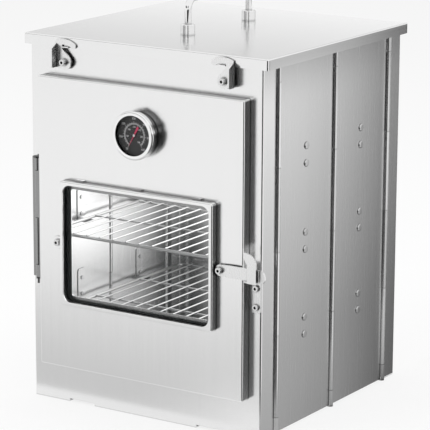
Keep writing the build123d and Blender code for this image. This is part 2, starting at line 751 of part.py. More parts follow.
# ---------------------------------------------------------------- window
glass_back = door_front - gasket_lip
window_front = door_front - window_depth
pocket_front = window_front + window_wall
pocket_width = window_width - 2 * window_wall
pocket_height = window_height - 2 * window_wall
pocket_corner = window_outer_corner - window_wall
glass_width = view_width + 2 * glass_grip
glass_height = view_height + 2 * glass_grip
with BuildPart() as window_frame:
    with BuildSketch(Plane.XZ.offset(-door_front)):
        with Locations((window_x, window_middle)):
            RectangleRounded(window_width, window_height, window_outer_corner)
    extrude(amount=window_depth)
    fillet(window_frame.edges().group_by(Axis.Y)[0], window_edge_round)
    with BuildSketch(Plane.XZ.offset(-door_front)):
        for bolt_x, bolt_z in bolt_places:
            with Locations(((bolt_x + window_x) / 2, bolt_z)):
                Rectangle(abs(bolt_x - window_x), ear_height)
            with Locations((bolt_x, bolt_z)):
                Circle(ear_height / 2)
                Circle(bolt_radius + hole_clearance, mode=Mode.SUBTRACT)
    extrude(amount=ear_thickness)
    with BuildSketch(Plane.XZ.offset(-door_front)):
        with Locations((window_x, window_middle)):
            RectangleRounded(pocket_width, pocket_height, pocket_corner)
    extrude(amount=door_front - pocket_front, mode=Mode.SUBTRACT)
    with BuildSketch(Plane.XZ.offset(-door_front)):
        with Locations((window_x, window_middle)):
            RectangleRounded(view_width, view_height, window_corner)
    extrude(amount=through, mode=Mode.SUBTRACT)
    front_face = window_frame.faces().sort_by(Axis.Y)[0]
    fillet(front_face.inner_wires()[0].edges(), window_hole_round)
    tab_end = door_front + sheet + touch_gap
    for tab_middle in tab_places:
        with Locations((tab_middle, door_front - tab_root, window_top - window_wall / 2)):
            Box(tab_width, tab_root, window_wall / 2 + tab_thickness, align=(mid, low, low))
        with Locations((tab_middle, tab_end, window_top)):
            Box(tab_width, tab_end - door_front + tab_root, tab_thickness, align=(mid, high, low))
save(window_frame.part, "window_frame")

with BuildPart() as window_glass:
    with BuildSketch(Plane.XZ.offset(-glass_back)):
        with Locations((window_x, window_middle)):
            RectangleRounded(glass_width, glass_height, window_corner)
    extrude(amount=glass_thickness)
    chamfer(window_glass.edges().filter_by(Axis.Y, reverse=True), glass_chamfer)
save(window_glass.part, "window_glass")

with BuildPart() as window_gasket:
    with BuildSketch(Plane.XZ.offset(-door_front)):
        with Locations((window_x, window_middle)):
            RectangleRounded(pocket_width - 2 * touch_gap, pocket_height - 2 * touch_gap, pocket_corner)
            RectangleRounded(view_width, view_height, window_corner, mode=Mode.SUBTRACT)
    extrude(amount=door_front - pocket_front)
    with BuildSketch(Plane.XZ.offset(-glass_back)):
        with Locations((window_x, window_middle)):
            RectangleRounded(
                glass_width + 2 * touch_gap, glass_height + 2 * touch_gap, window_corner + touch_gap
            )
    extrude(amount=glass_thickness, mode=Mode.SUBTRACT)
save(window_gasket.part, "window_gasket")

with BuildPart() as window_bolt:
    bolt_length = ear_thickness + bolt_end
    add(socket_bolt(window_bolt_left, window_bolt_height, ear_front, bolt_length, bolt_head_height))
save(window_bolt.part, "window_bolt")

pivot_seat = arm_front - touch_gap
with BuildPart() as latch_pivot_bolt:
    bolt_length = door_front - pivot_seat + bolt_end
    add(socket_bolt(window_bolt_right, window_bolt_height, pivot_seat, bolt_length, bolt_head_height))
save(latch_pivot_bolt.part, "latch_pivot_bolt")

with BuildPart() as latch_pivot_washer:
    add(washer(window_bolt_right, window_bolt_height, ear_front))
save(latch_pivot_washer.part, "latch_pivot_washer")

with BuildPart() as door_nuts:
    for x, z in bolt_places:
        add(hexagon_nut(x, z, door_front + sheet, nut_bore, nut_flats, nut_height))
save(door_nuts.part, "door_nuts")

# ---------------------------------------------------------------- door hinge
barrel_x = door_left - door_hinge_offset
barrel_y = front - door_barrel_radius - door_barrel_gap
door_hinge_high = door_hinge_low + door_hinge_length
hinge_seams = [
    door_hinge_low, door_hinge_low + door_hinge_short, door_hinge_low + door_hinge_length / 2,
    door_hinge_high - door_hinge_short, door_hinge_high,
]
barrel_spans = [
    (seam_low + knuckle_gap / 2, seam_high - knuckle_gap / 2)
    for seam_low, seam_high in zip(hinge_seams, hinge_seams[1:])
]
barrel_bore = door_pin_radius + pin_clearance
strip_front = barrel_y - door_barrel_radius
clear_left = barrel_x - door_barrel_radius - knuckle_relief
clear_right = barrel_x + door_barrel_radius + knuckle_relief
leaf_left = barrel_x - leaf_width

with BuildPart() as door_hinge_frame_leaf:
    with Locations((leaf_left, front, door_hinge_low)):
        Box(clear_left - leaf_left, leaf_thickness, door_hinge_length, align=(low, high, low))
    for span_low, span_high in barrel_spans[1::2]:
        span = span_high - span_low
        with Locations((barrel_x, barrel_y, span_low)):
            Cylinder(door_barrel_radius, span, align=(mid, mid, low))
        with Locations((leaf_left, front, span_low)):
            Box(leaf_width, leaf_thickness, span, align=(low, high, low))
    with Locations((barrel_x, barrel_y, door_hinge_low)):
        Cylinder(barrel_bore, door_hinge_length, align=(mid, mid, low), mode=Mode.SUBTRACT)
save(door_hinge_frame_leaf.part, "door_hinge_frame_leaf")

with BuildPart() as door_hinge_door_leaf:
    strip_low = door_hinge_low + knuckle_gap / 2
    strip_length = door_hinge_length - knuckle_gap
    with Locations((clear_right, strip_front, strip_low)):
        Box(door_left - clear_right, leaf_thickness, strip_length, align=(low, low, low))
    for span_low, span_high in barrel_spans[::2]:
        span = span_high - span_low
        with Locations((barrel_x, barrel_y, span_low)):
            Cylinder(door_barrel_radius, span, align=(mid, mid, low))
        with Locations((barrel_x, strip_front, span_low)):
            Box(door_left - barrel_x, leaf_thickness, span, align=(low, low, low))
    with Locations((door_left, strip_front + leaf_thickness, strip_low)):
        Box(leaf_thickness, door_leaf_width, strip_length, align=(high, high, low))
    with Locations((barrel_x, barrel_y, door_hinge_low)):
        Cylinder(barrel_bore, door_hinge_length, align=(mid, mid, low), mode=Mode.SUBTRACT)
save(door_hinge_door_leaf.part, "door_hinge_door_leaf")

head_y = front - touch_gap - door_pin_head_radius
with BuildPart() as door_hinge_pin:
    with Locations((barrel_x, barrel_y, door_hinge_low - door_pin_tail)):
        Cylinder(door_pin_radius, door_hinge_length + door_pin_tail, align=(mid, mid, low))
    with Locations((barrel_x, head_y, door_hinge_high)):
        Cylinder(door_pin_head_radius, door_pin_head_height, align=(mid, mid, low))
    head_edges = door_hinge_pin.edges().filter_by(GeomType.CIRCLE).group_by(Axis.Z)[-1]
    fillet(head_edges, door_pin_head_round)
save(door_hinge_pin.part, "door_hinge_pin")

with BuildPart() as door_hinge_clip:
    with Locations((barrel_x, barrel_y, door_hinge_low)):
        Cylinder(door_barrel_radius, door_pin_head_height, align=(mid, mid, high))
        Cylinder(barrel_bore, through, mode=Mode.SUBTRACT)
save(door_hinge_clip.part, "door_hinge_clip")

# ---------------------------------------------------------------- door latch: arm and keeper
arm_half = arm_height / 2
turn_cos, turn_sin = polar(1, arm_tab_angle)
arm_plane = Plane(
    origin=(window_bolt_right, arm_back, window_bolt_height), x_dir=(1, 0, 0), z_dir=(0, -1, 0)
)
tab_plane = Plane(
    origin=(window_bolt_right + arm_reach - arm_bend_overlap, arm_back, window_bolt_height),
    x_dir=(turn_cos, -turn_sin, 0), z_dir=(-turn_sin, -turn_cos, 0),
)
with BuildPart() as latch_arm:
    with BuildSketch(arm_plane):
        with BuildLine():
            root = ThreePointArc((0, -arm_root_radius), (-arm_root_radius, 0), (0, arm_root_radius))
            Polyline(
                root @ 1, (arm_flare, arm_half), (arm_reach, arm_half), (arm_reach, -arm_half),
                (arm_flare, -arm_half), root @ 0,
            )
        make_face()
        Circle(bolt_radius + pin_clearance, mode=Mode.SUBTRACT)
    extrude(amount=arm_thickness)
    with BuildSketch(tab_plane):
        round_start = arm_tab_length - arm_half
        with BuildLine():
            end = ThreePointArc((round_start, arm_half), (arm_tab_length, 0), (round_start, -arm_half))
            Polyline(end @ 1, (0, -arm_half), (0, arm_half), end @ 0)
        make_face()
    extrude(amount=arm_thickness)
save(latch_arm.part, "latch_arm")

shelf_top = window_bolt_height - arm_half - touch_gap
shelf_bottom = shelf_top - keeper_thickness
shelf_left = keeper_right - keeper_width
keeper_front = front - keeper_thickness
horn_back = arm_front - 2 * touch_gap
horn_left = shelf_left + horn_shift
horn_right = horn_left + horn_width
horn_tip = (horn_left - horn_lean, shelf_top + horn_height)
right_turn = (horn_right, shelf_top + horn_height - horn_shoulder)
left_turn = (horn_left, shelf_top + horn_height - horn_throat)
with BuildPart() as latch_keeper:
    with BuildSketch(Plane.XZ.offset(-front)):
        with Locations((keeper_x, (keeper_low + shelf_top) / 2)):
            Rectangle(keeper_width, shelf_top - keeper_low)
        with Locations(*keeper_bolt_places):
            Circle(bolt_radius + hole_clearance, mode=Mode.SUBTRACT)
    extrude(amount=keeper_thickness)
    fillet(latch_keeper.edges().filter_by(Axis.Y).group_by(Axis.Z)[0], keeper_round)
    with Locations((shelf_left, keeper_front, shelf_top)):
        Box(horn_right - shelf_left, keeper_front - horn_back, keeper_thickness, align=(low, high, high))
    with BuildSketch(Plane.XZ.offset(-horn_back)):
        with BuildLine():
            Polyline(left_turn, (horn_left, shelf_bottom), (horn_right, shelf_bottom), right_turn)
            SagittaArc(right_turn, horn_tip, -horn_bulge)
            SagittaArc(horn_tip, left_turn, -horn_hollow)
        make_face()
    extrude(amount=keeper_thickness)
    fillet(latch_keeper.edges().filter_by(Axis.Y).group_by(Axis.Z)[-1], horn_tip_round)
save(latch_keeper.part, "latch_keeper")

# ---------------------------------------------------------------- thermometer
case_front = door_front - case_depth
bezel_back = case_front + bezel_lap
lens_front = bezel_back - bezel_depth + lens_inset
dial_front = case_front + dial_inset
dial_back = dial_front + dial_thickness
needle_back = dial_front - needle_gap
hub_bore = spindle_radius + touch_gap
with BuildPart() as thermometer_case:
    with Locations(facing_front(dial_x, door_front, dial_height)):
        Cylinder(case_radius, case_depth, align=(mid, mid, low))
    fillet(thermometer_case.edges().filter_by(GeomType.CIRCLE).group_by(Axis.Y)[-1], case_round)
    with Locations(facing_front(dial_x, door_front - case_wall, dial_height)):
        Cylinder(case_radius - case_wall, case_depth, align=(mid, mid, low), mode=Mode.SUBTRACT)
        Cylinder(thread_radius + pin_clearance, through, mode=Mode.SUBTRACT)
save(thermometer_case.part, "thermometer_case")

with BuildPart() as thermometer_bezel:
    with Locations(facing_front(dial_x, bezel_back, dial_height)):
        Cylinder(bezel_radius, bezel_depth, align=(mid, mid, low))
    fillet(thermometer_bezel.edges().filter_by(GeomType.CIRCLE).group_by(Axis.Y)[0], bezel_round)
    with Locations(facing_front(dial_x, lens_front, dial_height)):
        Cylinder(bezel_inner_radius, through, mode=Mode.SUBTRACT)
        Cylinder(case_radius + pin_clearance, through, align=(mid, mid, high), mode=Mode.SUBTRACT)
save(thermometer_bezel.part, "thermometer_bezel")

with BuildPart() as thermometer_lens:
    with Locations(facing_front(dial_x, lens_front + lens_thickness, dial_height)):
        Cylinder(case_radius, lens_thickness, align=(mid, mid, low))
save(thermometer_lens.part, "thermometer_lens")

with BuildPart() as thermometer_dial:
    with Locations(facing_front(dial_x, dial_back, dial_height)):
        Cylinder(dial_radius, dial_thickness, align=(mid, mid, low))
        Cylinder(spindle_radius + pin_clearance, through, mode=Mode.SUBTRACT)
save(thermometer_dial.part, "thermometer_dial")

needle_cos, needle_sin = polar(1, needle_rest_angle)
needle_plane = Plane(
    origin=(dial_x, needle_back, dial_height), x_dir=(needle_cos, 0, needle_sin), z_dir=(0, -1, 0)
)
with BuildPart() as thermometer_needle:
    with BuildSketch(needle_plane):
        with BuildLine():
            Polyline(
                (needle_tip, 0), (0, needle_tip_width / 2), (-needle_tail, needle_tail_width / 2),
                (-needle_tail, -needle_tail_width / 2), (0, -needle_tip_width / 2), close=True,
            )
        make_face()
        Circle(needle_hub_radius)
    extrude(amount=needle_thickness)
    with Locations(facing_front(dial_x, needle_back, dial_height)):
        Cylinder(spindle_radius, dial_back - needle_back + spindle_reach, align=(mid, mid, high))
save(thermometer_needle.part, "thermometer_needle")

with BuildPart() as thermometer_stem:
    thread_end = door_front + sheet + thread_length
    stem_end = door_front + sheet + stem_length
    with Locations(facing_front(dial_x, dial_back, dial_height)):
        Cylinder(thread_radius, thread_end - dial_back, align=(mid, mid, high))
        Cylinder(stem_radius, stem_end - dial_back, align=(mid, mid, high))
        Cylinder(hub_bore, 2 * (spindle_reach + touch_gap), mode=Mode.SUBTRACT)
    fillet(
        thermometer_stem.edges().filter_by(GeomType.CIRCLE).group_by(Axis.Y)[-1], stem_tip_round
    )
save(thermometer_stem.part, "thermometer_stem")

with BuildPart() as thermometer_nut:
    add(
        hexagon_nut(
            dial_x, dial_height, door_front + sheet, thread_radius + pin_clearance,
            thermometer_nut_flats, thermometer_nut_height,
        )
    )
save(thermometer_nut.part, "thermometer_nut")
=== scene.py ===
"""Finishes, dial print, stage and lights of a folding camp oven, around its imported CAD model."""
import json
import math

import bmesh
import bpy
from mathutils import Matrix, Vector

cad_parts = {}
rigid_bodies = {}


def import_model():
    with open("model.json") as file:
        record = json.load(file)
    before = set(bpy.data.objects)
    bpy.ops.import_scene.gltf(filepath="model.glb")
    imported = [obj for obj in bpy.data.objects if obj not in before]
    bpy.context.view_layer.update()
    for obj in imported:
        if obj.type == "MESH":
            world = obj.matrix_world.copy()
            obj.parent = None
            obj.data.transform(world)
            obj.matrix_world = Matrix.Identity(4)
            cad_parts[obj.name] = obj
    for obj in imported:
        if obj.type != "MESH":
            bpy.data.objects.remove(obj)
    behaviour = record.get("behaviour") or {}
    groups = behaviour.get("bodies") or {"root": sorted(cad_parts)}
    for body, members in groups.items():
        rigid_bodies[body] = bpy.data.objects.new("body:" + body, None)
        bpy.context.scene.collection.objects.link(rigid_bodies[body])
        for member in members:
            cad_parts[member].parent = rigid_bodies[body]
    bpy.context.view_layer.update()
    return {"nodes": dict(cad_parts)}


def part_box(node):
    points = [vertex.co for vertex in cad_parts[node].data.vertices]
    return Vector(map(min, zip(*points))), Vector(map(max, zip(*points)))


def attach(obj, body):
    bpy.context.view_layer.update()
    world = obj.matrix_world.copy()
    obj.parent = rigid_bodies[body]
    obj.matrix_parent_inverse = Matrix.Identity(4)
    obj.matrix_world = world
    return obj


bl_info = {
    "name": "Folding camp oven",
    "version": (1, 0, 0),
    "blender": (4, 5, 0),
    "location": "3D View > Sidebar > Camp Oven",
    "description": "Stainless finishes, dial print, stage and lights of a folding camp oven",
    "category": "Object",
}

for leftover in list(bpy.data.objects):
    bpy.data.objects.remove(leftover)
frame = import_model()
nodes = frame["nodes"]


# ---------------------------------------------------------------- settings
class CampOvenMetal(bpy.types.PropertyGroup):
    """Colours and finishes of the metal pieces."""

    sheet_colour: bpy.props.FloatVectorProperty(
        name="Sheet colour", description="Frames, door, lid and window rim", subtype="COLOR",
        default=(0.85, 0.85, 0.85), min=0, max=1,
    )
    panel_colour: bpy.props.FloatVectorProperty(
        name="Side panel colour", description="Folding side panels and rack brackets",
        subtype="COLOR", default=(0.74, 0.74, 0.74), min=0, max=1,
    )
    bright_colour: bpy.props.FloatVectorProperty(
        name="Polished colour", description="Handle, collars, bezel and wall hinge pins",
        subtype="COLOR", default=(0.86, 0.86, 0.86), min=0, max=1,
    )
    latch_colour: bpy.props.FloatVectorProperty(
        name="Latch colour", description="Latches and keeper", subtype="COLOR",
        default=(0.80, 0.80, 0.80), min=0, max=1,
    )
    hinge_colour: bpy.props.FloatVectorProperty(
        name="Door hinge colour", description="Leaves of the door's hinge", subtype="COLOR",
        default=(0.30, 0.30, 0.30), min=0, max=1,
    )
    hinge_pin_colour: bpy.props.FloatVectorProperty(
        name="Door hinge pin colour", description="Pin and end clip of the door's hinge",
        subtype="COLOR", default=(0.12, 0.12, 0.12), min=0, max=1,
    )
    tray_colour: bpy.props.FloatVectorProperty(
        name="Tray colour", description="Base tray", subtype="COLOR",
        default=(0.45, 0.45, 0.45), min=0, max=1,
    )
    rivet_colour: bpy.props.FloatVectorProperty(
        name="Rivet colour", description="Heads of the bracket rivets", subtype="COLOR",
        default=(0.62, 0.62, 0.62), min=0, max=1,
    )
    bolt_colour: bpy.props.FloatVectorProperty(
        name="Bolt colour", description="Bolts, nuts, washers and spacers", subtype="COLOR",
        default=(0.72, 0.72, 0.72), min=0, max=1,
    )
    wire_colour: bpy.props.FloatVectorProperty(
        name="Rack colour", description="Plated wire of the racks", subtype="COLOR",
        default=(0.56, 0.56, 0.56), min=0, max=1,
    )
    case_colour: bpy.props.FloatVectorProperty(
        name="Case colour", description="Case of the thermometer", subtype="COLOR",
        default=(0.20, 0.20, 0.20), min=0, max=1,
    )
    sheet_roughness: bpy.props.FloatProperty(
        name="Sheet roughness", description="Roughness of the front, rear and door",
        subtype="FACTOR", default=0.22, min=0, max=1,
    )
    lid_roughness: bpy.props.FloatProperty(
        name="Lid roughness", description="Roughness of the lid", subtype="FACTOR",
        default=0.176, min=0, max=1,
    )
    panel_roughness: bpy.props.FloatProperty(
        name="Panel roughness", description="Roughness of the side panels", subtype="FACTOR",
        default=0.24, min=0, max=1,
    )
    grain_spacing: bpy.props.FloatProperty(
        name="Grain spacing", description="Width of one brushed line of the sheet",
        unit="LENGTH", default=0.0006, min=0.0001,
    )


class CampOvenDial(bpy.types.PropertyGroup):
    """Print and needle of the door's thermometer."""

    face_colour: bpy.props.FloatVectorProperty(
        name="Face colour", description="Ground of the dial", subtype="COLOR",
        default=(0.028, 0.028, 0.029), min=0, max=1,
    )
    print_colour: bpy.props.FloatVectorProperty(
        name="Print colour", description="Numbers and marks", subtype="COLOR",
        default=(0.80, 0.80, 0.80), min=0, max=1,
    )
    band_colour: bpy.props.FloatVectorProperty(
        name="Band colour", description="Open ring between the two rows of numbers",
        subtype="COLOR", default=(0.36, 0.36, 0.36), min=0, max=1,
    )
    needle_colour: bpy.props.FloatVectorProperty(
        name="Needle colour", description="Painted needle", subtype="COLOR",
        default=(0.62, 0.05, 0.12), min=0, max=1,
    )
    band_radius: bpy.props.FloatProperty(
        name="Band radius", description="Middle of the open ring", unit="LENGTH", default=0.0122
    )
    band_width: bpy.props.FloatProperty(
        name="Band width", description="Width of the open ring", unit="LENGTH", default=0.0017
    )
    outer_numbers: bpy.props.FloatProperty(
        name="Outer numbers", description="Radius of the outer row of numbers", unit="LENGTH",
        default=0.0176,
    )
    inner_numbers: bpy.props.FloatProperty(
        name="Inner numbers", description="Radius of the inner row of numbers", unit="LENGTH",
        default=0.0087,
    )
    number_height: bpy.props.FloatProperty(
        name="Number height", description="Height of a printed number", unit="LENGTH",
        default=0.0024,
    )
    scale_start: bpy.props.FloatProperty(
        name="Scale start", description="First mark, anticlockwise from the right hand",
        subtype="ANGLE", default=math.radians(238),
    )
    scale_sweep: bpy.props.FloatProperty(
        name="Scale sweep", description="Turn of the needle from the first mark to the last",
        subtype="ANGLE", default=math.radians(290),
    )
    print_thickness: bpy.props.FloatProperty(
        name="Print thickness", description="Thickness of the print", unit="LENGTH",
        default=0.00005,
    )
    hub_radius: bpy.props.FloatProperty(
        name="Hub radius", description="Cap over the needle's spindle", unit="LENGTH",
        default=0.0014,
    )
    hub_height: bpy.props.FloatProperty(
        name="Hub height", description="How far the cap stands in front of the needle",
        unit="LENGTH", default=0.0006,
    )


class CampOvenStage(bpy.types.PropertyGroup):
    """Camera, floor and lights."""

    lens: bpy.props.FloatProperty(
        name="Lens", description="Focal length on a 36 mm wide sensor, in millimetres",
        default=202.49,
    )
    camera_place: bpy.props.FloatVectorProperty(
        name="Camera place", description="Where the camera stands", subtype="TRANSLATION",
        default=(1.39477, -2.16298, 0.80827),
    )
    camera_turn: bpy.props.FloatProperty(
        name="Camera azimuth", description="Turn of the camera about the oven", subtype="ANGLE",
        default=math.radians(32.886),
    )
    camera_rise: bpy.props.FloatProperty(
        name="Camera elevation", description="How steeply the camera looks down", subtype="ANGLE",
        default=math.radians(13.453),
    )
    camera_roll: bpy.props.FloatProperty(
        name="Camera roll", description="Tilt of the picture", subtype="ANGLE",
        default=math.radians(0.266),
    )
    floor_half: bpy.props.FloatProperty(
        name="Floor half width", description="Half the width of the floor", unit="LENGTH",
        default=6.0,
    )
    floor_colour: bpy.props.FloatVectorProperty(
        name="Floor colour", description="Plain pale floor", subtype="COLOR",
        default=(0.86, 0.86, 0.86), min=0, max=1,
    )
    room_light: bpy.props.FloatProperty(
        name="Room light", description="Strength of the even light from all round", default=0.5
    )


# ---------------------------------------------------------------- helpers for finishes
NOISE_SPAN = (0.3, 0.7)  # nearly all of a noise texture's values
BROAD_SHARE = 0.08  # broad streaks to each fine one
ROUGHNESS_CHANGE = 0.15  # share by which the brushing changes the roughness
RELIEF_HEIGHT = 0.0002  # of a brushed line, in metres
OPEN_SPAN = (0.25, 0.85)  # how open a surface lies, from full painted shade to none
OPEN_RAYS = 8  # that feel for near surfaces
SPECKLES = 2500.0  # grains per metre of paint, ink and rubber


def finish(name, colour, metallic, roughness):
    """A new material of one plain value, and its shader for more."""
    material = bpy.data.materials.new(name)
    material.use_nodes = True
    shader = material.node_tree.nodes["Principled BSDF"]
    shader.inputs["Base Color"].default_value = (*colour, 1)
    shader.inputs["Metallic"].default_value = metallic
    shader.inputs["Roughness"].default_value = roughness
    material.diffuse_color = (*colour, 1)
    return material, shader


def node(owner, kind, **values):
    """Adds a shader node to a material or a world and sets its own properties by name."""
    made = owner.node_tree.nodes.new(kind)
    for key, value in values.items():
        setattr(made, key, value)
    return made


def link(owner, start, end):
    """Joins an output socket to an input socket."""
    owner.node_tree.links.new(start, end)


def combined(owner, operation, first, second):
    """The result of a math operation on two sockets."""
    made = node(owner, "ShaderNodeMath", operation=operation)
    link(owner, first, made.inputs[0])
    link(owner, second, made.inputs[1])
    return made.outputs["Value"]


def blended(owner, share, first, second):
    """A mix of two shaders, where a share of 1 is all of the second."""
    blend = node(owner, "ShaderNodeMixShader")
    link(owner, share, blend.inputs["Fac"])
    link(owner, first, blend.inputs[1])
    link(owner, second, blend.inputs[2])
    return blend.outputs["Shader"]


def mapped(owner, source, start, end):
    """Carries a value from one span to another, and holds it at the ends."""
    span = node(owner, "ShaderNodeMapRange")
    span.inputs["From Min"].default_value, span.inputs["From Max"].default_value = start
    span.inputs["To Min"].default_value, span.inputs["To Max"].default_value = end
    link(owner, source, span.inputs["Value"])
    return span.outputs["Result"]


def streaks(material, scale, detail=3.0):
    """Noise on object coordinates, stretched by a scale in lines per metre along each axis."""
    place = node(material, "ShaderNodeTexCoord")
    stretch = node(material, "ShaderNodeMapping")
    stretch.inputs["Scale"].default_value = scale
    noise = node(material, "ShaderNodeTexNoise")
    noise.inputs["Scale"].default_value = 1.0
    noise.inputs["Detail"].default_value = detail
    link(material, place.outputs["Object"], stretch.inputs["Vector"])
    link(material, stretch.outputs["Vector"], noise.inputs["Vector"])
    return noise.outputs["Fac"]


def painted_corner_shade(material, source, shade_reach, depth):
    """Darkens a value with painted shade where the surface lies in a narrow gap or an inner
    corner.
    """
    # painted shade: the occlusion feel darkens the colour itself, not the light
    hollow = node(material, "ShaderNodeAmbientOcclusion", samples=OPEN_RAYS)
    hollow.inputs["Distance"].default_value = shade_reach
    shade = mapped(material, hollow.outputs["AO"], OPEN_SPAN, (1 - depth, 1.0))
    return combined(material, "MULTIPLY", shade, source)


def brushed(name, colour, roughness, lines, variation=0.05, relief=0.03, shade_reach=0.003, depth=0.35):
    """Brushed metal. lines gives the streaks per metre along each axis, few along the grain.

    variation is the change in brightness, relief the strength of the bump; reach and depth say how
    far from an inner corner and by how much painted shade darkens the metal's colour.
    """
    material, shader = finish(name, colour, metallic=1.0, roughness=roughness)
    fine = streaks(material, lines)
    broad = streaks(material, [count * BROAD_SHARE for count in lines], detail=2.0)
    change = roughness * ROUGHNESS_CHANGE
    rough = mapped(material, fine, NOISE_SPAN, (roughness - change, roughness + change))
    link(material, rough, shader.inputs["Roughness"])
    level = combined(
        material, "ADD", mapped(material, fine, NOISE_SPAN, (-variation, variation)),
        mapped(material, broad, NOISE_SPAN, (1 - variation / 2, 1 + variation / 2)),
    )
    tint = node(material, "ShaderNodeVectorMath", operation="SCALE")
    tint.inputs[0].default_value = colour
    # painted shade: the base colour is darkened in narrow gaps and inner corners
    link(material, painted_corner_shade(material, level, shade_reach, depth), tint.inputs["Scale"])
    link(material, tint.outputs["Vector"], shader.inputs["Base Color"])
    bump = node(material, "ShaderNodeBump")
    bump.inputs["Strength"].default_value = relief
    bump.inputs["Distance"].default_value = RELIEF_HEIGHT
    link(material, fine, bump.inputs["Height"])
    link(material, bump.outputs["Normal"], shader.inputs["Normal"])
    return material


def speckled(name, colour, roughness, change, grains=SPECKLES):
    """Paint, ink or rubber, whose roughness changes by this much either way."""
    material, shader = finish(name, colour, metallic=0.0, roughness=roughness)
    noise = streaks(material, (grains, grains, grains))
    rough = mapped(material, noise, NOISE_SPAN, (roughness - change, roughness + change))
    link(material, rough, shader.inputs["Roughness"])
    return material


def clear(name, tint, cover, refraction):
    """Clear glass that covers this share of what lies behind it."""
    material, shader = finish(name, tint, metallic=0.0, roughness=0.02)
    shader.inputs["Alpha"].default_value = cover
    shader.inputs["IOR"].default_value = refraction
    return material


def dress(material, *names):
    """Puts one material on every slot of these CAD nodes."""
    for name in names:
        for slot in nodes[name].material_slots:
            slot.material = material


def piece(name, mesh_source, material, body):
    """Turns a bmesh into a finished piece that rides on a body."""
    mesh = bpy.data.meshes.new(name)
    mesh_source.to_mesh(mesh)
    mesh_source.free()
    mesh.materials.append(material)
    made = bpy.data.objects.new(name, mesh)
    bpy.context.scene.collection.objects.link(made)
    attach(made, body)


# ---------------------------------------------------------------- finishes of the CAD pieces
class CAMPOVEN_OT_sheet_body(bpy.types.Operator):
    """Brushed stainless sheet on the frames, side panels, brackets, door, lid and tray"""

    bl_idname = "campoven.sheet_body"
    bl_label = "Body, door and lid"

    def execute(self, context):
        metal = context.scene.camp_oven_metal
        across = 1 / metal.grain_spacing
        upright = brushed(
            "upright_sheet", metal.sheet_colour, metal.sheet_roughness,
            lines=(across, across, 6.0), variation=0.008, relief=0.01, shade_reach=0.0022, depth=0.75,
        )
        dress(upright, "front_frame", "rear_frame", "door_pan")
        lengthwise = brushed(
            "lid_sheet", metal.sheet_colour, metal.lid_roughness, lines=(across, 6.0, across),
            variation=0.008, relief=0.01,
        )
        dress(lengthwise, "lid_pan")
        panel = brushed(
            "panel_sheet", metal.panel_colour, metal.panel_roughness, lines=(across, across, 14.0),
            variation=0.014, relief=0.01, shade_reach=0.0028, depth=0.92,
        )
        for side in ("right_front", "right_rear", "left_front", "left_rear"):
            dress(panel, side + "_panel", side + "_brackets")
        tray = brushed(
            "tray_sheet", metal.tray_colour, roughness=0.42, lines=(60.0, 60.0, 60.0),
            variation=0.10,
        )
        dress(tray, "base_tray")
        return {"FINISHED"}


class CAMPOVEN_OT_hardware(bpy.types.Operator):
    """Polished handle and pins, dark door hinge, rivets, bolts, nuts, washers and latches"""

    bl_idname = "campoven.hardware"
    bl_label = "Handle, hinges, bolts and latches"

    def execute(self, context):
        metal = context.scene.camp_oven_metal
        polished = brushed(
            "polished_wire", metal.bright_colour, roughness=0.07, lines=(90.0, 90.0, 90.0),
            variation=0.01, relief=0.01, shade_reach=0.004, depth=0.6,
        )
        dress(polished, "lid_handle", "handle_collars", "thermometer_bezel")
        for place in ("front", "middle", "rear"):
            dress(polished, f"right_{place}_hinge_pin", f"left_{place}_hinge_pin")
        riveted = brushed(
            "rivet_steel", metal.rivet_colour, roughness=0.16, lines=(700.0, 700.0, 700.0),
            variation=0.08, depth=0.98,
        )
        dress(riveted, "bracket_rivets")
        dark = brushed(
            "dark_hinge", metal.hinge_colour, roughness=0.24, lines=(900.0, 900.0, 60.0),
            variation=0.06, depth=0.97,
        )
        dress(dark, "door_hinge_frame_leaf", "door_hinge_door_leaf")
        blackened = brushed(
            "dark_pin", metal.hinge_pin_colour, roughness=0.22, lines=(300.0, 300.0, 300.0),
            variation=0.06, depth=0.95,
        )
        dress(blackened, "door_hinge_pin", "door_hinge_clip")
        turned = brushed(
            "turned_steel", metal.bolt_colour, roughness=0.20, lines=(1500.0, 120.0, 1500.0),
            relief=0.02, shade_reach=0.004, depth=0.96,
        )
        dress(
            turned, "keeper_bolts", "keeper_nuts", "lid_latch_spacers", "lid_latch_bolts",
            "lid_latch_nuts", "lid_latch_washers", "window_bolt", "latch_pivot_bolt",
            "latch_pivot_washer", "door_nuts", "collar_set_screws", "handle_screws",
            "thermometer_stem", "thermometer_nut",
        )
        satin = brushed(
            "satin_latch", metal.latch_colour, roughness=0.26, lines=(900.0, 900.0, 60.0),
            variation=0.03, relief=0.02, shade_reach=0.005, depth=0.9,
        )
        dress(satin, "lid_latch_left", "lid_latch_right", "latch_arm", "latch_keeper")
        return {"FINISHED"}


class CAMPOVEN_OT_window(bpy.types.Operator):
    """Polished frame, clear pane and black seal of the door's window"""

    bl_idname = "campoven.window"
    bl_label = "Window"

    def execute(self, context):
        metal = context.scene.camp_oven_metal
        rim = brushed(
            "window_frame_steel", metal.sheet_colour, roughness=0.18, lines=(400.0, 400.0, 400.0),
            variation=0.015, relief=0.01, shade_reach=0.006, depth=0.9,
        )
        dress(rim, "window_frame")
        pane = clear("clear_pane", (0.02, 0.03, 0.03), cover=0.12, refraction=1.9)
        dress(pane, "window_glass")
        seal = speckled("black_seal", (0.012, 0.012, 0.012), roughness=0.5, change=0.1)
        dress(seal, "window_gasket")
        return {"FINISHED"}


class CAMPOVEN_OT_racks(bpy.types.Operator):
    """Plated wire of the two racks"""

    bl_idname = "campoven.racks"
    bl_label = "Racks"

    def execute(self, context):
        metal = context.scene.camp_oven_metal
        wire = brushed(
            "plated_wire", metal.wire_colour, roughness=0.34, lines=(40.0, 40.0, 40.0),
            variation=0.02, relief=0.01, depth=0.5,
        )
        dress(wire, "rack_upper", "rack_lower")
        return {"FINISHED"}


